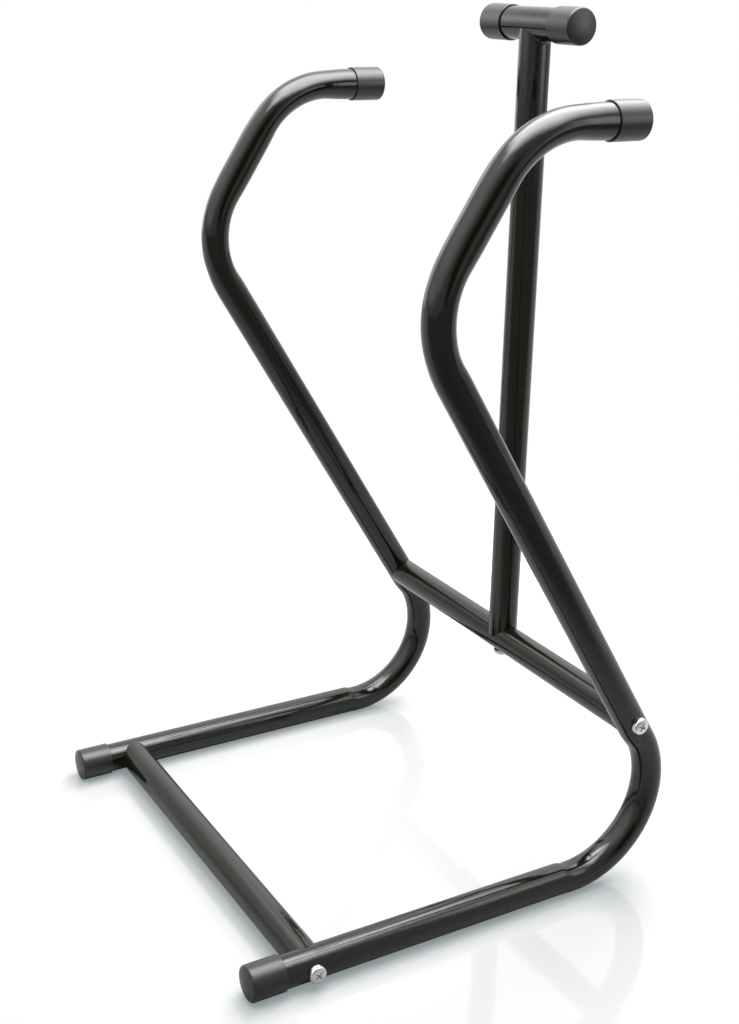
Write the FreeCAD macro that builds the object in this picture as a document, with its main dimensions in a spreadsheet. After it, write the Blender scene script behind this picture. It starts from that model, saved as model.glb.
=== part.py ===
import FreeCAD, Part
import math
import os
import Sketcher

# A free-standing rack for one pair of boots.  Two bent tube frames stand side by side, two
# crossbars hold them apart, and a post on the rear crossbar carries a T-shaped handle.
# Millimetres.  X runs across the rack, Y from the capped floor ends to the rear bends, Z up.
# The origin is on the floor, in the middle of the rack's width and depth.

SIZES = [
    ("tube_diameter", 22.0, "outside diameter of every tube"),
    ("tube_wall", 1.5, "wall of every tube"),
    ("bend_radius", 63.5, "centre line radius of the three bends in a side frame"),
    ("frame_spacing", 308.0, "between the centre lines of the two side frames"),
    ("floor_run", 250.3, "straight tube along the floor"),
    ("lower_bend_angle", 121.3, "degrees from the floor to the upright"),
    ("upright_run", 330.0, "straight tube of the upright"),
    ("middle_bend_angle", 64.0, "degrees from the upright back to the neck"),
    ("neck_run", 54.0, "straight tube between the two upper bends"),
    ("hook_run", 43.0, "straight level tube at the hook's end"),
    ("front_bar_setback", 42.3, "from the floor end of the tube to the floor crossbar"),
    ("rear_bar_rise", 20.4, "along the upright from the lower bend to the rear crossbar"),
    ("handle_height", 580.0, "from the floor to the handle's centre line"),
    ("handle_length", 98.0, "handle tube without its caps"),
    ("cope_clearance", 0.1, "between a coped tube end and the tube it hugs"),
    ("cope_tip", 3.0, "from a hugged tube's centre line to the blunt tips of the cope"),
    ("weld_throat", 2.5, "hollow radius of the weld under the handle"),
    ("weld_fit", 0.03, "between the weld and the tubes it joins"),
    ("weld_run_out", 1.0, "from the sides of the tubes to the ends of the weld"),
    ("cap_fit", 0.1, "between a tube and its end cap"),
    ("cap_wall", 1.0, "side wall of an end cap"),
    ("cap_grip", 22.0, "length of tube inside an end cap"),
    ("cap_floor", 1.6, "end wall of a cap at its edge"),
    ("cap_dome", 1.8, "rise of a cap's domed end"),
    ("cap_rounding", 1.6, "rounding of a cap's outer edge"),
    ("cap_lip", 0.3, "chamfer of a cap's open rim"),
    ("screw_diameter", 6.0, "shank of a screw"),
    ("screw_clearance", 0.3, "between a screw and the hole in a tube"),
    ("screw_engagement", 13.0, "length of screw past the tube that it goes through"),
    ("screw_chamfer", 0.8, "chamfer at a screw's point"),
    ("head_diameter", 12.0, "pan head of a screw"),
    ("head_height", 3.8, "height of the pan head"),
    ("head_dome", 0.7, "rise of the pan head's top"),
    ("head_rounding", 1.6, "rounding of the pan head's edge"),
    ("recess_span", 6.4, "cross recess from tip to tip"),
    ("recess_slot", 1.6, "width of one slot of the cross recess"),
    ("recess_depth", 2.2, "depth of the cross recess"),
    ("recess_taper_angle", 12.0, "degrees of slope on the recess walls"),
    ("insert_fit", 0.1, "between a threaded insert and the tube around it"),
    ("insert_length", 16.0, "threaded insert"),
    ("insert_gap", 0.3, "from a threaded insert to the tube in front of it"),
    ("insert_chamfer", 0.8, "chamfer at both ends of an insert"),
    ("thread_clearance", 0.05, "between a screw and its insert"),
]

doc = FreeCAD.newDocument("boot_rack")
sheet = doc.addObject("Spreadsheet::Sheet", "sizes")
for row, (alias, value, note) in enumerate(SIZES, start=1):
    sheet.set(f"A{row}", alias)
    sheet.set(f"B{row}", str(value))
    sheet.set(f"C{row}", note)
    sheet.setAlias(f"B{row}", alias)
doc.recompute()

# Formulas over the sheet that several pieces share.
TUBE_RADIUS = "(sizes.tube_diameter / 2)"
BORE_RADIUS = "(sizes.tube_diameter / 2 - sizes.tube_wall)"
HALF_SPACING = "(sizes.frame_spacing / 2)"
COPE_RADIUS = f"({TUBE_RADIUS} + sizes.cope_clearance)"
HOLE_RADIUS = "(sizes.screw_diameter / 2 + sizes.screw_clearance)"
SCREW_LENGTH = "(sizes.tube_diameter + sizes.screw_engagement)"
CAP_END = "(sizes.cap_floor + sizes.cap_dome)"

# The floor caps lift the front of the floor runs, so each frame leans back by this angle.
TILT = "(asin((sizes.cap_fit + sizes.cap_wall) / (sizes.floor_run - sizes.cap_grip)))"
LOWER = "(sizes.lower_bend_angle * 1 deg)"
NECK = "((sizes.lower_bend_angle - sizes.middle_bend_angle) * 1 deg)"

# Places in the side view, from the centre of the lower bend.
FRONT_REACH = (f"((sizes.floor_run + {CAP_END}) * cos({TILT})"
               f" + sizes.bend_radius * sin({TILT}))")
REAR_REACH = f"(sizes.bend_radius + {TUBE_RADIUS})"
BEND_Y = f"(({FRONT_REACH} - {REAR_REACH}) / 2)"
BEND_Z = f"(sizes.bend_radius + {TUBE_RADIUS})"
FLOOR_END = (f"({BEND_Y} - sizes.bend_radius * sin({TILT}) - sizes.floor_run * cos({TILT}))",
             f"({BEND_Z} - sizes.bend_radius * cos({TILT}) + sizes.floor_run * sin({TILT}))")
FRONT_BAR = (f"({FLOOR_END[0]} + sizes.front_bar_setback * cos({TILT}))",
             f"({FLOOR_END[1]} - sizes.front_bar_setback * sin({TILT}))")
REAR_BAR = (f"({BEND_Y} + sizes.bend_radius * sin({LOWER}) + sizes.rear_bar_rise * cos({LOWER}))",
            f"({BEND_Z} - sizes.bend_radius * cos({LOWER}) + sizes.rear_bar_rise * sin({LOWER}))")
HOOK_END = (f"({BEND_Y} + 2 * sizes.bend_radius * sin({LOWER}) + sizes.upright_run * cos({LOWER})"
            f" + sizes.neck_run * cos({NECK}) + sizes.hook_run)",
            f"({BEND_Z} + sizes.bend_radius * (1 - 2 * cos({LOWER}))"
            f" + sizes.upright_run * sin({LOWER}) + sizes.neck_run * sin({NECK}))")
POST_HEIGHT = f"(sizes.handle_height - {REAR_BAR[1]})"
HALF_HANDLE = "(sizes.handle_length / 2)"

SIDES = [("right", 1), ("left", -1)]

# How a turned piece, whose own axis is Z, is laid to point each way.
ABOUT_X = "vector(1; 0; 0)"
ABOUT_Y = "vector(0; 1; 0)"
ABOUT_Z = "vector(0; 0; 1)"
TOWARDS = {"right": (ABOUT_Y, "90 deg"),
           "left": (ABOUT_Y, "-90 deg"),
           "rear": (ABOUT_X, "-90 deg"),
           "down": (ABOUT_X, "180 deg"),
           "along the floor run": (ABOUT_X, f"(90 deg - {TILT})")}

RECESS_TURNS = {"right_floor": 40, "right_rear": 62, "left_floor": 15, "left_rear": 78, "post": 30}

pieces = []


def number(formula):
    result = sheet.evalExpression(formula)
    return float(getattr(result, "Value", result))


def vector(x, y, z=0.0):
    return FreeCAD.Vector(x, y, z)


def place(piece, x, y, z, axis=ABOUT_X, angle="0 deg"):
    piece.setExpression("Placement", f"placement(vector({x}; {y}; {z}); rotation({axis}; {angle}))")


def new_piece(kind, label):
    piece = doc.addObject(kind, label)
    piece.Label = label
    pieces.append(piece)
    return piece


def new_body(label):
    return new_piece("PartDesign::Body", label)


def new_sketch(body, role, name):
    sketch = body.newObject("Sketcher::SketchObject", name)
    plane = next(feature for feature in body.Origin.OriginFeatures if feature.Role == role)
    sketch.AttachmentSupport = (plane, "")
    sketch.MapMode = "FlatFace"
    return sketch


def shift(sketch, height="0", axis=ABOUT_Z, angle="0 deg"):
    sketch.setExpression("AttachmentOffset",
                         f"placement(vector(0; 0; {height}); rotation({axis}; {angle}))")


def tie(sketch, kind, *references):
    return sketch.addConstraint(Sketcher.Constraint(kind, *references))


def hold(sketch, name, formula, kind, *references):
    size = math.radians(number(formula)) if kind == "Angle" else number(formula)
    sketch.renameConstraint(tie(sketch, kind, *references, size), name)
    sketch.setExpression(f"Constraints.{name}", formula)


def hold_point(sketch, name, geometry, point, x, y):
    if x == "0":
        tie(sketch, "PointOnObject", geometry, point, -2)
    else:
        hold(sketch, f"{name}_x", x, "DistanceX", -1, 1, geometry, point)
    if y == "0":
        tie(sketch, "PointOnObject", geometry, point, -1)
    else:
        hold(sketch, f"{name}_y", y, "DistanceY", -1, 1, geometry, point)


def add_circle(sketch, name, radius, x="0", y="0"):
    centre = vector(number(x), number(y))
    circle = sketch.addGeometry(Part.Circle(centre, vector(0, 0, 1), number(radius)), False)
    hold(sketch, f"{name}_radius", radius, "Radius", circle)
    hold_point(sketch, name, circle, 3, x, y)
    return circle


def add_outline(sketch, corners, dome=None):
    """Closed outline through the corners; the edge that starts at the dome's corner is an arc
    that ends on the axis."""
    points = [vector(number(x), number(y)) for name, x, y in corners]
    edges = []
    for index, (name, x, y) in enumerate(corners):
        start = points[index]
        end = points[(index + 1) % len(points)]
        if name == dome:
            rise = end.y - start.y
            radius = (start.x ** 2 + rise ** 2) / (2 * rise)
            centre = vector(0, end.y - radius)
            ring = Part.Circle(centre, vector(0, 0, 1), radius)
            first = math.atan2(start.y - centre.y, start.x)
            edge = sketch.addGeometry(Part.ArcOfCircle(ring, first, math.pi / 2), False)
            tie(sketch, "PointOnObject", edge, 3, -2)
        else:
            edge = sketch.addGeometry(Part.LineSegment(start, end), False)
        edges.append(edge)
    for index, (name, x, y) in enumerate(corners):
        tie(sketch, "Coincident", edges[index - 1], 2, edges[index], 1)
        hold_point(sketch, name, edges[index], 1, x, y)


def add_rectangle(sketch, width, height):
    x, y = number(width) / 2, number(height) / 2
    corners = [vector(-x, -y), vector(x, -y), vector(x, y), vector(-x, y)]
    edges = [sketch.addGeometry(Part.LineSegment(corners[index], corners[(index + 1) % 4]), False)
             for index in range(4)]
    for index in range(4):
        tie(sketch, "Coincident", edges[index - 1], 2, edges[index], 1)
        tie(sketch, "Horizontal" if index % 2 == 0 else "Vertical", edges[index])
    tie(sketch, "Symmetric", edges[0], 1, edges[2], 1, -1, 1)
    hold(sketch, "width", width, "Distance", edges[0])
    hold(sketch, "height", height, "Distance", edges[1])


def tube_section(body, role):
    sketch = new_sketch(body, role, "tube_section")
    add_circle(sketch, "outside", TUBE_RADIUS)
    add_circle(sketch, "inside", BORE_RADIUS)
    return sketch


def pad_both_ways(body, sketch, length):
    pad = body.newObject("PartDesign::Pad", "tube")
    pad.Profile = sketch
    pad.SideType = "Symmetric"
    pad.setExpression("Length", length)


def cut_through(body, sketch, name):
    pocket = body.newObject("PartDesign::Pocket", name)
    pocket.Profile = sketch
    pocket.Type = "ThroughAll"
    pocket.SideType = "Symmetric"


def revolve(body, sketch, name):
    turned = body.newObject("PartDesign::Revolution", name)
    turned.Profile = sketch
    turned.ReferenceAxis = (sketch, ["V_Axis"])
    turned.Angle = 360
    return turned


def round_rim(body, base, height, radius, name):
    """Rounds the widest circular edge at the given height of a turned piece."""
    doc.recompute()
    rims = [(edge.Curve.Radius, f"Edge{index}") for index, edge in enumerate(base.Shape.Edges, start=1)
            if not edge.Degenerated and isinstance(edge.Curve, Part.Circle)
            and abs(edge.Curve.Center.z - number(height)) < Part.Precision.confusion()]
    fillet = body.newObject("PartDesign::Fillet", name)
    fillet.Base = (base, [max(rims)[1]])
    fillet.setExpression("Radius", radius)


def draw_centre_line(body):
    sketch = new_sketch(body, "YZ_Plane", "centre_line")
    radius = number("sizes.bend_radius")
    runs = [("floor", "sizes.floor_run", "0 deg"),
            ("upright", "sizes.upright_run", f"{LOWER} + {TILT}"),
            ("neck", "sizes.neck_run", f"{NECK} + {TILT}"),
            ("hook", "sizes.hook_run", TILT)]
    point, before, joint = vector(0, 0), 0.0, None
    for name, length, direction in runs:
        heading = math.radians(number(direction))
        if joint is not None:
            side = 1 if heading > before else -1
            centre = point + vector(-math.sin(before), math.cos(before)) * side * radius
            first, last = before - side * math.pi / 2, heading - side * math.pi / 2
            ring = Part.Circle(centre, vector(0, 0, 1), radius)
            bend = sketch.addGeometry(Part.ArcOfCircle(ring, min(first, last), max(first, last)), False)
            entry, leave = (1, 2) if side > 0 else (2, 1)
            tie(sketch, "Tangent", joint, 2, bend, entry)
            hold(sketch, f"{name}_bend", "sizes.bend_radius", "Radius", bend)
            point = centre + vector(math.cos(last), math.sin(last)) * radius
        end = point + vector(math.cos(heading), math.sin(heading)) * number(length)
        line = sketch.addGeometry(Part.LineSegment(point, end), False)
        if joint is None:
            tie(sketch, "Coincident", line, 1, -1, 1)
            tie(sketch, "Horizontal", line)
        else:
            tie(sketch, "Tangent", bend, leave, line, 1)
            hold(sketch, f"{name}_heading", direction, "Angle", line)
        hold(sketch, f"{name}_length", length, "Distance", line)
        point, before, joint = end, heading, line
    return sketch


def make_side_frame(label, side):
    """Local frame: Y along the floor run from its open end, Z up."""
    body = new_body(label)
    path = draw_centre_line(body)
    tube = body.newObject("PartDesign::AdditivePipe", "bent_tube")
    tube.Profile = tube_section(body, "XZ_Plane")
    tube.Spine = path
    holes = new_sketch(body, "YZ_Plane", "screw_holes")
    upright = f"({LOWER} + {TILT})"
    add_circle(holes, "front", HOLE_RADIUS, "sizes.front_bar_setback")
    add_circle(holes, "rear", HOLE_RADIUS,
               f"sizes.floor_run + sizes.bend_radius * sin({upright})"
               f" + sizes.rear_bar_rise * cos({upright})",
               f"sizes.bend_radius * (1 - cos({upright})) + sizes.rear_bar_rise * sin({upright})")
    cut_through(body, holes, "screw_hole")
    place(body, f"{side} * {HALF_SPACING}", *FLOOR_END, angle=f"-1 * {TILT}")


def make_crossbar(label, centre, angle, post_hole):
    """Local frame: X along the bar, Y along the frame tubes that its ends hug."""
    body = new_body(label)
    pad_both_ways(body, tube_section(body, "YZ_Plane"), f"2 * ({HALF_SPACING} - sizes.cope_tip)")
    copes = new_sketch(body, "XZ_Plane", "copes")
    right = add_circle(copes, "right", COPE_RADIUS, HALF_SPACING)
    left = copes.addGeometry(Part.Circle(vector(-number(HALF_SPACING), 0), vector(0, 0, 1),
                                         number(COPE_RADIUS)), False)
    tie(copes, "Equal", right, left)
    tie(copes, "Symmetric", right, 3, left, 3, -1, 1)
    cut_through(body, copes, "cope")
    if post_hole:
        hole = new_sketch(body, "XY_Plane", "upright_circle")
        add_circle(hole, "hole", HOLE_RADIUS)
        shift(hole, axis=ABOUT_X, angle=f"-1 * {angle}")
        cut_through(body, hole, "upright_hole")
    place(body, "0", *centre, angle=angle)


def make_post(label):
    """Local frame: Z up the post from the rear crossbar's centre line."""
    body = new_body(label)
    section = tube_section(body, "XY_Plane")
    shift(section, "sizes.cope_tip")
    tube = body.newObject("PartDesign::Pad", "tube")
    tube.Profile = section
    tube.setExpression("Length", f"{POST_HEIGHT} - 2 * sizes.cope_tip")
    copes = new_sketch(body, "YZ_Plane", "copes")
    add_circle(copes, "foot", COPE_RADIUS)
    add_circle(copes, "head", COPE_RADIUS, "0", POST_HEIGHT)
    cut_through(body, copes, "cope")
    place(body, "0", *REAR_BAR)


def make_handle(label):
    body = new_body(label)
    pad_both_ways(body, tube_section(body, "YZ_Plane"), "sizes.handle_length")
    place(body, "0", REAR_BAR[0], "sizes.handle_height")


def make_weld(label):
    """Hollow weld in the two corners under the handle.  The post's cylinder is the smaller one,
    which leaves the two tubes one smooth edge to fillet."""
    fit = number("sizes.weld_fit")
    handle_radius = number(TUBE_RADIUS) + 2 * fit
    post_radius = number(TUBE_RADIUS) + fit
    throat = number("sizes.weld_throat")
    half_width = number(TUBE_RADIUS) - number("sizes.weld_run_out")
    reach = 2 * (handle_radius + throat)
    handle = Part.makeCylinder(handle_radius, 2 * reach, vector(-reach, 0, 0), vector(1, 0, 0))
    post = Part.makeCylinder(post_radius, reach, vector(0, 0, -reach), vector(0, 0, 1))
    joint = handle.fuse(post)
    corner = [edge for edge in joint.Edges if edge.BoundBox.ZMin > -reach
              and edge.BoundBox.XLength > post_radius and edge.BoundBox.YLength > post_radius]
    window = Part.makeBox(2 * reach, 2 * half_width, reach, vector(-reach, -half_width, -reach))
    weld = new_piece("Part::Feature", label)
    weld.Shape = joint.makeFillet(throat, corner).cut(joint).common(window)
    place(weld, "0", REAR_BAR[0], "sizes.handle_height")


def make_cap(label, x, y, z, towards):
    """Local frame: Z out of the tube, from the plane of the tube's end."""
    body = new_body(label)
    inside = f"{TUBE_RADIUS} + sizes.cap_fit"
    outside = f"{inside} + sizes.cap_wall"
    profile = new_sketch(body, "XZ_Plane", "cap_profile")
    add_outline(profile, [("seat", "0", "0"),
                          ("corner", inside, "0"),
                          ("bore", inside, "-1 * sizes.cap_grip"),
                          ("lip", f"{outside} - sizes.cap_lip", "-1 * sizes.cap_grip"),
                          ("side", outside, "sizes.cap_lip - sizes.cap_grip"),
                          ("edge", outside, "sizes.cap_floor"),
                          ("apex", "0", CAP_END)], dome="edge")
    moulding = revolve(body, profile, "moulding")
    round_rim(body, moulding, "sizes.cap_floor", "sizes.cap_rounding", "rounded_edge")
    place(body, x, y, z, *TOWARDS[towards])


def make_screw(label, x, y, z, towards, recess_turn):
    """Local frame: Z out of the head, from the head's seat."""
    body = new_body(label)
    shank = "sizes.screw_diameter / 2"
    head = "sizes.head_diameter / 2"
    profile = new_sketch(body, "XZ_Plane", "screw_profile")
    add_outline(profile, [("point", "0", f"-1 * {SCREW_LENGTH}"),
                          ("tip", f"{shank} - sizes.screw_chamfer", f"-1 * {SCREW_LENGTH}"),
                          ("thread", shank, f"sizes.screw_chamfer - {SCREW_LENGTH}"),
                          ("neck", shank, "0"),
                          ("seat", head, "0"),
                          ("edge", head, "sizes.head_height - sizes.head_dome"),
                          ("apex", "0", "sizes.head_height")], dome="edge")
    blank = revolve(body, profile, "blank")
    round_rim(body, blank, "sizes.head_height - sizes.head_dome", "sizes.head_rounding", "pan")
    for slot, span, width in (("slot", "sizes.recess_span", "sizes.recess_slot"),
                              ("cross_slot", "sizes.recess_slot", "sizes.recess_span")):
        sketch = new_sketch(body, "XY_Plane", slot)
        add_rectangle(sketch, span, width)
        shift(sketch, "sizes.head_height", angle=f"{recess_turn} deg")
        pocket = body.newObject("PartDesign::Pocket", f"{slot}_recess")
        pocket.Profile = sketch
        pocket.setExpression("Length", "sizes.recess_depth")
        pocket.setExpression("TaperAngle", "-1 * sizes.recess_taper_angle")
    place(body, x, y, z, *TOWARDS[towards])


def make_insert(label, x, y, z, towards):
    """Local frame: Z out of the tube's end, from the insert's outer face."""
    body = new_body(label)
    thread = "sizes.screw_diameter / 2 + sizes.thread_clearance"
    outside = f"{BORE_RADIUS} - sizes.insert_fit"
    profile = new_sketch(body, "XZ_Plane", "insert_profile")
    add_outline(profile, [("mouth", thread, "0"),
                          ("back", thread, "-1 * sizes.insert_length"),
                          ("lead", f"{outside} - sizes.insert_chamfer", "-1 * sizes.insert_length"),
                          ("barrel", outside, "sizes.insert_chamfer - sizes.insert_length"),
                          ("land", outside, "-1 * sizes.insert_chamfer"),
                          ("face", f"{outside} - sizes.insert_chamfer", "0")])
    revolve(body, profile, "barrel")
    place(body, x, y, z, *TOWARDS[towards])


for name, side in SIDES:
    make_side_frame(f"{name}_side_frame", side)
make_crossbar("floor_crossbar", FRONT_BAR, f"(-1 * {TILT})", post_hole=False)
make_crossbar("rear_crossbar", REAR_BAR, LOWER, post_hole=True)
make_post("centre_post")
make_handle("handle_tube")
make_weld("handle_weld")

for name, side in SIDES:
    beside = f"{side} * {HALF_SPACING}"
    make_cap(f"{name}_floor_cap", beside, *FLOOR_END, "along the floor run")
    make_cap(f"{name}_hook_cap", beside, *HOOK_END, "rear")
    make_cap(f"{name}_handle_cap", f"{side} * {HALF_HANDLE}", REAR_BAR[0], "sizes.handle_height", name)
    for level, bar in (("floor", FRONT_BAR), ("rear", REAR_BAR)):
        spot = f"{name}_{level}"
        make_screw(f"{spot}_screw", f"{side} * ({HALF_SPACING} + {TUBE_RADIUS})", *bar, name,
                   RECESS_TURNS[spot])
        make_insert(f"{spot}_insert", f"{side} * ({HALF_SPACING} - {TUBE_RADIUS} - sizes.insert_gap)",
                    *bar, name)
make_screw("post_screw", "0", REAR_BAR[0], f"{REAR_BAR[1]} - {TUBE_RADIUS}", "down",
           RECESS_TURNS["post"])
make_insert("post_insert", "0", REAR_BAR[0], f"{REAR_BAR[1]} + {TUBE_RADIUS} + sizes.insert_gap",
            "down")

doc.recompute()
for feature in doc.Objects:
    if "Invalid" in feature.State or "Error" in feature.State:
        raise RuntimeError(f"{feature.Label} failed: {feature.State}")
for piece in pieces:
    if piece.Shape.isNull() or not piece.Shape.isValid():
        raise RuntimeError(f"{piece.Label} has no valid shape")

os.makedirs("parts", exist_ok=True)
for piece in pieces:
    piece.Shape.exportStep(f"parts/{piece.Label}.step")
    box = piece.Shape.optimalBoundingBox()
    print(f"{piece.Label}: {len(piece.Shape.Solids)} solid, {piece.Shape.Volume:.1f} mm3,"
          f" x {box.XMin:.2f} to {box.XMax:.2f}, y {box.YMin:.2f} to {box.YMax:.2f},"
          f" z {box.ZMin:.2f} to {box.ZMax:.2f}")
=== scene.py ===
import math

import bpy
from mathutils import Matrix, Vector


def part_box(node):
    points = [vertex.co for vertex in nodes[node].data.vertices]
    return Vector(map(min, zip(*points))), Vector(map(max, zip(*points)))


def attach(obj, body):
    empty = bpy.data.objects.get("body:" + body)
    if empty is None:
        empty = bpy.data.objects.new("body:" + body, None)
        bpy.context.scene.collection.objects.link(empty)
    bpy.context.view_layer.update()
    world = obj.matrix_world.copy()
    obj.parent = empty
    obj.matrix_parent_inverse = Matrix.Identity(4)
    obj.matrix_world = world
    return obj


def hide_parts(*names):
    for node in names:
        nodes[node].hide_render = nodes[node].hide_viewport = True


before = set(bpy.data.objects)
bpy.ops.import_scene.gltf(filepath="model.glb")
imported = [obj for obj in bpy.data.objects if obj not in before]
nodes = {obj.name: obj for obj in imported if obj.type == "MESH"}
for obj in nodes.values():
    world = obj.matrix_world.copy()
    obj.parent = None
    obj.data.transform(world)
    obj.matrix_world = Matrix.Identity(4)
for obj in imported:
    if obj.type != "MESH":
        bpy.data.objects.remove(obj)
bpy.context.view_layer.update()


class Link:  # one value in a shader; an expression on links adds its Math nodes
    def __init__(self, shader, socket):
        self.shader, self.socket = shader, socket

    def __add__(self, other):
        return self.shader.maths("ADD", self, other)

    def __sub__(self, other):
        return self.shader.maths("SUBTRACT", self, other)

    def __rsub__(self, other):
        return self.shader.maths("SUBTRACT", other, self)

    def __mul__(self, other):
        return self.shader.maths("MULTIPLY", self, other)

    def __truediv__(self, other):
        return self.shader.maths("DIVIDE", self, other)

    __radd__, __rmul__ = __add__, __mul__

    def above(self, edge, soft):  # 0 below the edge, 1 above it
        return self.shader.maths("ADD", (self - edge) / soft, 0.5, clamp=True)

    def ramp(self, start, end):  # smooth rise from 0 to 1
        return self.shader.node("ShaderNodeMapRange", {"interpolation_type": "SMOOTHSTEP"},
                                {0: self, 1: start, 2: end})

    def outputs(self, *names):  # several results of the same node
        return [Link(self.shader, self.socket.node.outputs[name]) for name in names]


class Shader:
    def __init__(self, tree):
        self.tree = tree
        tree.nodes.clear()

    def node(self, kind, settings=None, inputs=None, output=0):
        made = self.tree.nodes.new(kind)
        for name, value in (settings or {}).items():
            setattr(made, name, value)
        for name, value in (inputs or {}).items():
            if isinstance(value, Link):
                self.tree.links.new(value.socket, made.inputs[name])
            else:
                made.inputs[name].default_value = value
        return Link(self, made.outputs[output]) if made.outputs else None

    def maths(self, operation, *values, clamp=False):
        settings = {"operation": operation, "use_clamp": clamp}
        return self.node("ShaderNodeMath", settings, dict(enumerate(values)))

    def vectorMaths(self, operation, *values, output="Vector"):
        return self.node("ShaderNodeVectorMath", {"operation": operation}, dict(enumerate(values)), output)

    def place(self, centre=(0, 0, 0), turn=(0, 0, 0)):  # where a point lies, from the centre
        moved = self.vectorMaths("SUBTRACT", self.node("ShaderNodeTexCoord", output="Object"), centre)
        return self.node("ShaderNodeMapping", None, {"Vector": moved, "Rotation": turn})

    def noise(self, at, scale, detail, roughness=0.5):
        return self.node("ShaderNodeTexNoise", None,
                         {"Vector": at, "Scale": scale, "Detail": detail, "Roughness": roughness})

    def blend(self, mask, low, high):  # a Mix node's colours are its sockets 6 and 7
        return self.node("ShaderNodeMix", {"data_type": "RGBA"}, {0: mask, 6: low, 7: high}, output=2)

    def bump(self, pattern, height, under=None):
        inputs = {"Height": pattern, "Distance": height}
        if under is not None:
            inputs["Normal"] = under
        return self.node("ShaderNodeBump", None, inputs)

    def finish(self, surface):
        self.node("ShaderNodeOutputMaterial", None, {"Surface": surface})


def newMaterial(name):
    material = bpy.data.materials.new(name)
    material.use_nodes = True
    return material, Shader(material.node_tree)


def grey(level):
    return (level, level, level, 1.0)


paintLook = {  # each noise has its scale, detail and roughness; heights are metres
    "dark": (0.0040, 0.0044, 0.0018, 1.0), "light": (0.0070, 0.0076, 0.0032, 1.0), "ior": 1.5,
    "roughness": 0.075, "smudge": 0.05, "cloud": (22.0, 3.0),
    "wave": (110.0, 1.0), "waveHeight": 0.00009,  # slow waves in the film
    "peel": (520.0, 0.0), "peelHeight": 0.000012,  # fine orange peel
    "speckScale": 60.0, "speckSize": 0.05, "speckSoft": 0.06, "speckHeight": 0.000015,
    "bead": (620.0, 2.0, 0.7), "beadHeight": 0.0005,  # the lumps of a weld
}


def blackPaint(name, welded=False):
    material, shader = newMaterial(name)
    at = shader.place()
    cloud = shader.noise(at, *paintLook["cloud"])
    cells = shader.node("ShaderNodeTexVoronoi", None, {"Vector": at, "Scale": paintLook["speckScale"]})
    specks = 1 - cells.above(paintLook["speckSize"], paintLook["speckSoft"])
    film = shader.bump(shader.noise(at, *paintLook["wave"]), paintLook["waveHeight"])
    film = shader.bump(shader.noise(at, *paintLook["peel"]), paintLook["peelHeight"], film)
    if welded:
        film = shader.bump(shader.noise(at, *paintLook["bead"]), paintLook["beadHeight"], film)
    shader.finish(shader.node("ShaderNodeBsdfPrincipled", None, {
        "Base Color": shader.blend(cloud, paintLook["dark"], paintLook["light"]),
        "Roughness": cloud * paintLook["smudge"] + paintLook["roughness"],
        "IOR": paintLook["ior"],
        "Normal": shader.bump(specks, paintLook["speckHeight"], film)}))
    return material


capLook = {
    "dark": 0.012, "light": 0.020, "ior": 1.5,
    "roughness": 0.29, "smudge": 0.08, "cloud": (60.0, 4.0),
    "grain": (2600.0, 1.0), "grainHeight": 0.00003,
}


def capPlastic():
    material, shader = newMaterial("satin_cap_plastic")
    at = shader.place()
    cloud = shader.noise(at, *capLook["cloud"])
    shader.finish(shader.node("ShaderNodeBsdfPrincipled", None, {
        "Base Color": shader.blend(cloud, grey(capLook["dark"]), grey(capLook["light"])),
        "Roughness": cloud * capLook["smudge"] + capLook["roughness"],
        "IOR": capLook["ior"],
        "Normal": shader.bump(shader.noise(at, *capLook["grain"]), capLook["grainHeight"])}))
    return material


zincLook = {
    "dark": (0.64, 0.64, 0.6528, 1.0), "light": (0.86, 0.86, 0.8686, 1.0),
    "roughness": 0.15, "smudge": 0.15, "cloud": (900.0, 3.0),
    "rings": 14000.0, "ringShare": 0.5, "ringHeight": 0.00001,  # turned rings round the screw's axis
}


def zincPlate(name, centre, axis):
    material, shader = newMaterial(name + "_zinc")
    turn = {"x": (0, math.pi / 2, 0), "z": (0, 0, 0)}[axis]
    at = shader.place(centre, turn)
    cloud = shader.noise(at, *zincLook["cloud"])
    radius = shader.vectorMaths("LENGTH", shader.vectorMaths("MULTIPLY", at, (1, 1, 0)), output="Value")
    rings = shader.maths("SINE", radius * zincLook["rings"])
    shader.finish(shader.node("ShaderNodeBsdfPrincipled", None, {
        "Base Color": shader.blend(cloud, zincLook["dark"], zincLook["light"]),
        "Metallic": 1.0,
        "Roughness": cloud * zincLook["smudge"] + zincLook["roughness"],
        "Normal": shader.bump(rings * zincLook["ringShare"] + cloud, zincLook["ringHeight"])}))
    return material


def dress(name, material):
    for slot in nodes[name].material_slots:
        slot.material = material


sideFrame = {  # metres and degrees
    "radius": 0.011, "wall": 0.0015, "sides": 72, "across": 0.154, "lean": 0.276,
    "runs": (0.2503, 0.330, 0.054, 0.043), "turns": (121.576, -64.0, -57.3), "bendRadius": 0.0635,
    "inner": (0.0016, 0.0009, 0.0008),  # how far each bend's inside is pressed flat
    "outer": (0.0, 0.0012, 0.0010),  # and its outside
    "wide": (0.0003, 0.0003, 0.0004),  # swelling of both sides
    "lead": (0.009, 0.008, 0.012), "leadFade": (0.007, 0.022, 0.022),  # pressed tube before each bend
    "tail": (0.012, 0.014, 0.016), "tailFade": (0.018, 0.030, 0.022),  # and past it
    "frontHole": 0.0423, "rearHole": 0.0204, "holeRadius": 0.0033, "holeGuard": 0.0055, "drillSides": 48,
    "ringGap": 0.0016, "arcPieces": 3, "curveSteps": 64, "smoothAngle": 35,
}


def smooth(value):
    value = min(max(value, 0.0), 1.0)
    return value * value * (3 - 2 * value)


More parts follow.
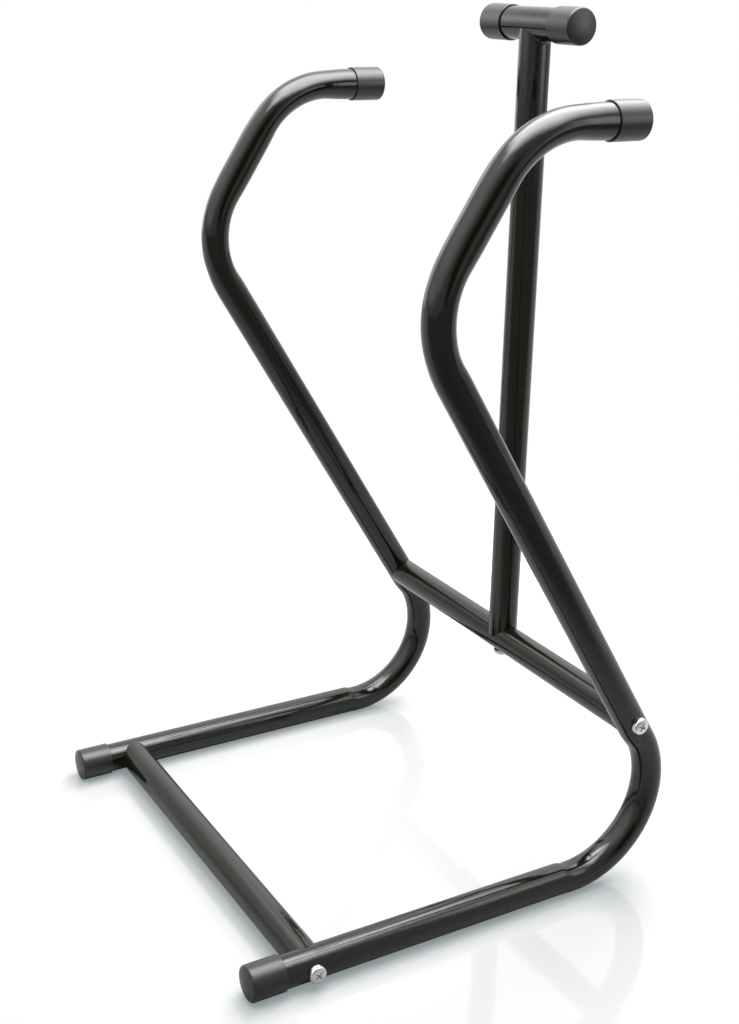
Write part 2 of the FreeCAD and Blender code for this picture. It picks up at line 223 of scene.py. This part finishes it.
def bendSpans(look):  # where each bend starts and ends along the tube, and the tube's length
    spans, at = [], 0.0
    for run, turn in zip(look["runs"], look["turns"]):
        start = at + run
        at = start + look["bendRadius"] * math.radians(abs(turn))
        spans.append((start, at))
    return spans, at + look["runs"][-1]


def pressed(look, spans, at):  # how far the tube is out of round there: left, right and across
    left = right = wide = 0.0
    for index, (start, end) in enumerate(spans):
        first, last = start - look["lead"][index], end + look["tail"][index]
        amount = smooth((at - first) / look["leadFade"][index])
        amount *= smooth((last - at) / look["tailFade"][index])
        inner, outer = look["inner"][index] * amount, look["outer"][index] * amount
        if look["turns"][index] < 0:
            inner, outer = outer, inner
        left, right, wide = left - inner, right - outer, wide + look["wide"][index] * amount
    return left, right, wide


def ringPlaces(look, spans, length):  # rings stand close in the bends and beside the screw holes
    holes = (look["frontHole"], spans[0][1] + look["rearHole"])
    places = {0.0, length} | {hole + side * look["holeGuard"] for hole in holes for side in (-1, 1)}
    for index, (start, end) in enumerate(spans):
        first, last = start - look["lead"][index], end + look["tail"][index]
        count = math.ceil((last - first) / look["ringGap"])
        places |= {first + (last - first) * ring / count for ring in range(count + 1)}
    return sorted(places)


def straightTube(look, spans, length):
    radius = look["radius"]
    bpy.ops.object.select_all(action="DESELECT")
    bpy.ops.mesh.primitive_circle_add(vertices=look["sides"], radius=radius, rotation=(0, math.pi / 2, 0))
    bpy.ops.object.transform_apply(location=False, rotation=True, scale=False)
    bpy.ops.object.mode_set(mode="EDIT")
    bpy.ops.mesh.select_all(action="SELECT")
    at, tall, broad, shift = 0.0, 2 * radius, 2 * radius, 0.0
    for place in ringPlaces(look, spans, length)[1:]:
        left, right, wide = pressed(look, spans, place)
        bpy.ops.mesh.extrude_region_move(TRANSFORM_OT_translate={"value": (place - at, 0, 0)})
        newTall, newBroad, newShift = 2 * radius + left + right, 2 * (radius + wide), (left - right) / 2
        if (newTall, newBroad, newShift) != (tall, broad, shift):
            bpy.ops.transform.resize(value=(1, newTall / tall, newBroad / broad),
                                     center_override=(place, shift, 0))
            bpy.ops.transform.translate(value=(0, newShift - shift, 0))
        at, tall, broad, shift = place, newTall, newBroad, newShift
    bpy.ops.mesh.select_all(action="SELECT")
    bpy.ops.mesh.flip_normals()
    bpy.ops.object.mode_set(mode="OBJECT")
    return bpy.context.object


def ahead(heading):
    return Vector((math.cos(heading), math.sin(heading), 0))


def bendPath(look):  # the centre line in its own plane, from the floor end to the hook
    points, heading = [Vector((0, 0, 0))], 0.0
    handles = []  # one pair for each stretch
    for index, run in enumerate(look["runs"]):
        points.append(points[-1] + ahead(heading) * run)
        handles.append((points[-2] + ahead(heading) * run / 3, points[-1] - ahead(heading) * run / 3))
        if index == len(look["turns"]):
            break
        turn = math.radians(look["turns"][index]) / look["arcPieces"]
        reach = 4 / 3 * math.tan(abs(turn) / 4) * look["bendRadius"]  # handles of a round arc
        chord = 2 * look["bendRadius"] * math.sin(abs(turn) / 2)
        for piece in range(look["arcPieces"]):
            points.append(points[-1] + ahead(heading + turn / 2) * chord)
            before, after = ahead(heading), ahead(heading + turn)
            handles.append((points[-2] + before * reach, points[-1] - after * reach))
            heading += turn
    line = bpy.data.curves.new("frame_line", "CURVE")
    line.dimensions, line.resolution_u = "2D", look["curveSteps"]
    spline = line.splines.new("BEZIER")
    spline.bezier_points.add(len(points) - 1)
    for index, (knot, place) in enumerate(zip(spline.bezier_points, points)):
        knot.handle_left_type = knot.handle_right_type = "FREE"
        knot.co = place
        knot.handle_left = handles[index - 1][1] if index else place
        knot.handle_right = handles[index][0] if index < len(handles) else place
    holder = bpy.data.objects.new("frame_line", line)
    bpy.context.collection.objects.link(holder)
    return holder


def selectOnly(piece):
    bpy.ops.object.select_all(action="DESELECT")
    piece.select_set(True)
    bpy.context.view_layer.objects.active = piece


def applyModifier(piece, kind, settings):
    modifier = piece.modifiers.new(kind.lower(), kind)
    for name, value in settings.items():
        setattr(modifier, name, value)
    selectOnly(piece)
    bpy.ops.object.modifier_apply(modifier=modifier.name)


def settle(piece):  # the object's place goes into its mesh
    selectOnly(piece)
    bpy.ops.object.transform_apply(location=True, rotation=True, scale=True)


def drillFrame(tube, look):
    for screw in ("right_floor_screw", "right_rear_screw"):
        low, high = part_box(screw)
        middle = (low + high) / 2
        bpy.ops.object.select_all(action="DESELECT")
        bpy.ops.mesh.primitive_cylinder_add(vertices=look["drillSides"], radius=look["holeRadius"],
                                            depth=4 * look["radius"],
                                            location=(look["across"], middle.y, middle.z),
                                            rotation=(0, math.pi / 2, 0))
        drill = bpy.context.object
        applyModifier(tube, "BOOLEAN", {"operation": "DIFFERENCE", "solver": "EXACT", "object": drill})
        bpy.data.objects.remove(drill)


def bentFrames(look):
    spans, length = bendSpans(look)
    tube = straightTube(look, spans, length)
    applyModifier(tube, "SOLIDIFY", {"thickness": look["wall"], "offset": -1.0, "use_even_offset": True})
    line = bendPath(look)
    applyModifier(tube, "CURVE", {"object": line, "deform_axis": "POS_X"})
    bpy.data.objects.remove(line)
    tube.rotation_euler = (math.pi / 2, 0, math.pi / 2)
    settle(tube)
    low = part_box("right_side_frame")[0]
    lean = math.radians(look["lean"])  # the rear bend stands on the floor, the front end is lifted
    rise = look["bendRadius"] * (1 - math.cos(lean)) + look["runs"][0] * math.sin(lean)
    tube.rotation_euler = (-lean, 0, 0)
    tube.location = (look["across"], low.y + look["radius"] * math.sin(lean), look["radius"] + rise)
    settle(tube)
    drillFrame(tube, look)
    selectOnly(tube)
    bpy.ops.object.shade_smooth_by_angle(angle=math.radians(look["smoothAngle"]))
    tube.name = tube.data.name = "right_bent_tube"
    twin = tube.copy()
    twin.data = tube.data.copy()
    twin.name = twin.data.name = "left_bent_tube"
    bpy.context.collection.objects.link(twin)
    twin.location.x = -2 * look["across"]
    settle(twin)
    return {"right": tube, "left": twin}


framePaint = blackPaint("gloss_black_paint")
weldPaint = blackPaint("painted_weld", welded=True)
blackPlastic = capPlastic()
for name in nodes:
    if name.endswith("cap"):
        dress(name, blackPlastic)
    elif name.endswith(("screw", "insert")):
        low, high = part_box(name)
        axis = "z" if name.startswith("post") else "x"
        dress(name, zincPlate(name, tuple((low + high) / 2), axis))
    elif name.endswith("weld"):
        dress(name, weldPaint)
    else:
        dress(name, framePaint)
print("finishes done")

for side, tube in bentFrames(sideFrame).items():
    node = side + "_side_frame"
    tube.data.materials.append(framePaint)
    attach(tube, "root")
    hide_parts(node)
    print(tube.name, "with", len(tube.data.polygons), "faces")
print("side frames done")

floorLook = {
    "width": 9.0, "roughness": 0.05, "ior": 1.40,
    "lit": 0.90, "dim": 0.26,  # colour behind the rack, and painted shade on the camera's side of it, seen in reflections and bounce light
    "dimFrom": 0.10, "dimTo": 0.36, "dimTurn": 60,
    "seen": (0.928, 0.885, 0.878),  # colour to the eye, a little red so that shadows turn cool
    "lampLight": 0.95,  # how bright the lamps make a white floor
    "lift": 1.13, "plainLift": 1.09,  # painted light: a glow to the eye inside the frame and round it
    "insideFrom": -0.135, "insideTo": -0.105,  # the frame's front edge
    "outsideFrom": 0.14, "outsideTo": 0.17,  # and its right edge
    "clearFrom": 0.31, "clearTo": 0.50, "clear": 0.40,  # extra light past all shadows
    "openRadius": 0.50, "whiteRadius": 0.95, "mirrored": 0.88,  # the far floor, white to the eye only
}


def floorWhite(look):
    material, shader = newMaterial("white_floor")
    black, white = grey(0.0), grey(1.0)
    at = shader.place()
    x, y = shader.node("ShaderNodeSeparateXYZ", None, {0: at}).outputs("X", "Y")
    distance = shader.vectorMaths("LENGTH", at, output="Value")
    isCamera, isGlossy, isThrough = shader.node("ShaderNodeLightPath").outputs(
        "Is Camera Ray", "Is Glossy Ray", "Is Transmission Ray")
    # painted shade: the floor darkens towards the camera for every ray but the camera's own
    turn = math.radians(look["dimTurn"])
    nearer = x * math.sin(turn) - y * math.cos(turn)
    dim = nearer.ramp(look["dimFrom"], look["dimTo"])
    bare = shader.blend(look["lit"] - dim * (look["lit"] - look["dim"]), black, white)
    plain, raised = ([look[name] - look["lampLight"] * part for part in look["seen"]] + [1]
                     for name in ("plainLift", "lift"))
    inside = y.ramp(look["insideFrom"], look["insideTo"])
    inside = inside * (1 - x.ramp(look["outsideFrom"], look["outsideTo"]))
    added = shader.blend(inside, plain, raised)  # painted light: a glow to the eye only that makes the open floor white, stronger inside the frame so that shade there fades out
    added = shader.blend(distance.ramp(look["clearFrom"], look["clearTo"]), added, grey(look["clear"]))
    near = shader.node("ShaderNodeBsdfPrincipled", None, {
        "Base Color": shader.blend(isCamera, bare, look["seen"] + (1.0,)),
        "Roughness": look["roughness"],
        "IOR": look["ior"],
        "Emission Color": shader.blend(isCamera, black, added),
        "Emission Strength": 1.0})
    # painted shade: the far floor's glow to reflections darkens towards the camera the same way
    mirrored = look["mirrored"] - dim * (look["mirrored"] - look["dim"])
    seen = shader.blend(shader.maths("MAXIMUM", isCamera, mirrored), black, white)
    far = shader.node("ShaderNodeEmission", None, {"Color": seen, "Strength": 1.0})
    mask = distance.ramp(look["openRadius"], look["whiteRadius"]) * (isCamera + isGlossy + isThrough)
    shader.finish(shader.node("ShaderNodeMixShader", None, {0: mask, 1: near, 2: far}))
    return material


bpy.ops.object.select_all(action="DESELECT")
bpy.ops.mesh.primitive_plane_add(size=floorLook["width"], location=(0, 0, 0))
floor = bpy.context.object
floor.name = "floor"
floor.data.materials.append(floorWhite(floorLook))
print("floor done")

lamps = {  # they light the floor and the plastic, and don't show in the gloss
    "overhead": {"place": (0.17, 0.06, 1.15), "towards": (-0.489, -0.317, -1.0),
                 "size": (0.78, 0.82), "level": 2.0},
    "rearLeft": {"place": (-0.47, 0.70, 1.24), "towards": (0.47, -0.70, -1.1),
                 "size": (0.9, 0.9), "level": 5.0},
}


def addLamp(name, lamp):
    wide, high = lamp["size"]
    light = bpy.data.lights.new(name, "AREA")
    light.shape, light.size, light.size_y = "RECTANGLE", wide, high
    light.energy = lamp["level"] * wide * high * math.pi  # an even glow of that level
    holder = bpy.data.objects.new(name, light)
    bpy.context.collection.objects.link(holder)
    holder.location = lamp["place"]
    holder.rotation_euler = Vector(lamp["towards"]).to_track_quat("-Z", "Y").to_euler()
    holder.visible_glossy = False


for name, lamp in lamps.items():
    addLamp(name, lamp)

softboxes = {  # what the gloss reflects; they light nothing
    "roof_softbox": {"place": (-0.025, 0.047, 1.147), "towards": (-0.14, -0.401, -1.0), "spin": -0.152,
                     "size": (0.77, 0.888), "fade": 0.27, "level": 13.2},
    "wall_softbox": {"place": (-0.47, -0.14, 0.73), "towards": (0.84, 0.485, -0.242), "spin": 0.0,
                     "size": (0.31, 0.22), "fade": 0.15, "level": 3.1},
    "front_softbox": {"place": (-0.27, -0.80, 0.62), "towards": (0.10, 0.90, -0.10), "spin": 0.0,
                      "size": (0.66, 0.24), "fade": 0.10, "level": 1.6},
    "right_softbox": {"place": (0.60, 0.57, 0.65), "towards": (-0.60, -0.50, -0.10), "spin": 0.0,
                      "size": (0.34, 0.34), "fade": 0.12, "level": 3.0},
}


def softGlow(name, box, wide, high):  # even in the middle, fading to nothing at the panel's edges
    material, shader = newMaterial(name + "_glow")
    spot = shader.node("ShaderNodeSeparateXYZ", None, {0: shader.node("ShaderNodeTexCoord", output="Object")})
    x, y = spot.outputs("X", "Y")
    pastSide = shader.maths("ABSOLUTE", x) * wide - box["size"][0] / 2
    pastEnd = shader.maths("ABSOLUTE", y) * high - box["size"][1] / 2
    mask = 1 - shader.maths("MAXIMUM", pastSide, pastEnd).ramp(-box["fade"], box["fade"])
    glow = shader.node("ShaderNodeEmission", None, {"Color": grey(1.0), "Strength": box["level"]})
    clear = shader.node("ShaderNodeBsdfTransparent", None, {"Color": grey(1.0)})
    shader.finish(shader.node("ShaderNodeMixShader", None, {0: mask, 1: clear, 2: glow}))
    return material


def addSoftbox(name, box):
    wide, high = (side + 2 * box["fade"] for side in box["size"])
    turn = Vector(box["towards"]).to_track_quat("-Z", "Y").to_matrix() @ Matrix.Rotation(box["spin"], 3, "Z")
    bpy.ops.object.select_all(action="DESELECT")
    bpy.ops.mesh.primitive_plane_add(size=1.0, location=box["place"], rotation=turn.to_euler())
    panel = bpy.context.object
    panel.name = name
    panel.scale = (wide, high, 1.0)
    panel.data.materials.append(softGlow(name, box, wide, high))
    panel.visible_camera = panel.visible_diffuse = panel.visible_shadow = False
    panel.visible_transmission = panel.visible_volume_scatter = False


for name, box in softboxes.items():
    addSoftbox(name, box)

room = {  # the walls and what is bright or dark on them, each towards an azimuth and elevation
    "plain": 0.20,  # what lights the floor and the plastic
    "walls": 0.58,
    "bright": [
        {"towards": (-84, 3), "edge": 0.94, "soft": 0.22, "level": 1.8},
        {"towards": (-11, 47), "edge": 0.84, "soft": 0.34, "level": 1.6},
        {"towards": (-146, 56), "edge": 0.74, "soft": 0.46, "level": 1.5},
        {"towards": (-60, 80), "edge": 0.974, "soft": 0.03, "level": 4.0},
    ],
    "dark": {"towards": (77, 13), "edge": 0.94, "soft": 0.09, "level": 0.93},
}


def aim(azimuth, elevation):
    across, up = math.radians(azimuth), math.radians(elevation)
    return (math.sin(across) * math.cos(up), -math.cos(across) * math.cos(up), math.sin(up))


def patch(sky, direction, part):
    facing = sky.vectorMaths("DOT_PRODUCT", direction, aim(*part["towards"]), output="Value")
    return facing.above(part["edge"], part["soft"]) * part["level"]


world = bpy.data.worlds.new("room")
world.use_nodes = True
bpy.context.scene.world = world
sky = Shader(world.node_tree)
direction = sky.node("ShaderNodeTexCoord", output="Generated")
level = room["walls"]
for part in room["bright"]:
    level = patch(sky, direction, part) + level
level = level * (1 - patch(sky, direction, room["dark"]))
isCamera, isDiffuse = sky.node("ShaderNodeLightPath").outputs("Is Camera Ray", "Is Diffuse Ray")
level = level + isDiffuse * (room["plain"] - level)
level = level + isCamera * (1 - level)
background = sky.node("ShaderNodeBackground", None, {"Color": grey(1.0), "Strength": level})
sky.node("ShaderNodeOutputWorld", None, {"Surface": background})
print("light done")

view = {
    "place": (0.84306, -0.48497, 0.60848), "turn": (69.81036, -1.06528, 59.94370),
    "lens": 51.30, "sensorHeight": 36.0,
}
lens = bpy.data.cameras.new("view")
lens.sensor_fit, lens.sensor_height, lens.lens = "VERTICAL", view["sensorHeight"], view["lens"]
camera = bpy.data.objects.new("view", lens)
bpy.context.collection.objects.link(camera)
camera.location = view["place"]
camera.rotation_euler = [math.radians(angle) for angle in view["turn"]]
bpy.context.scene.camera = camera
bpy.context.scene.view_settings.view_transform = "Standard"
print("camera done")
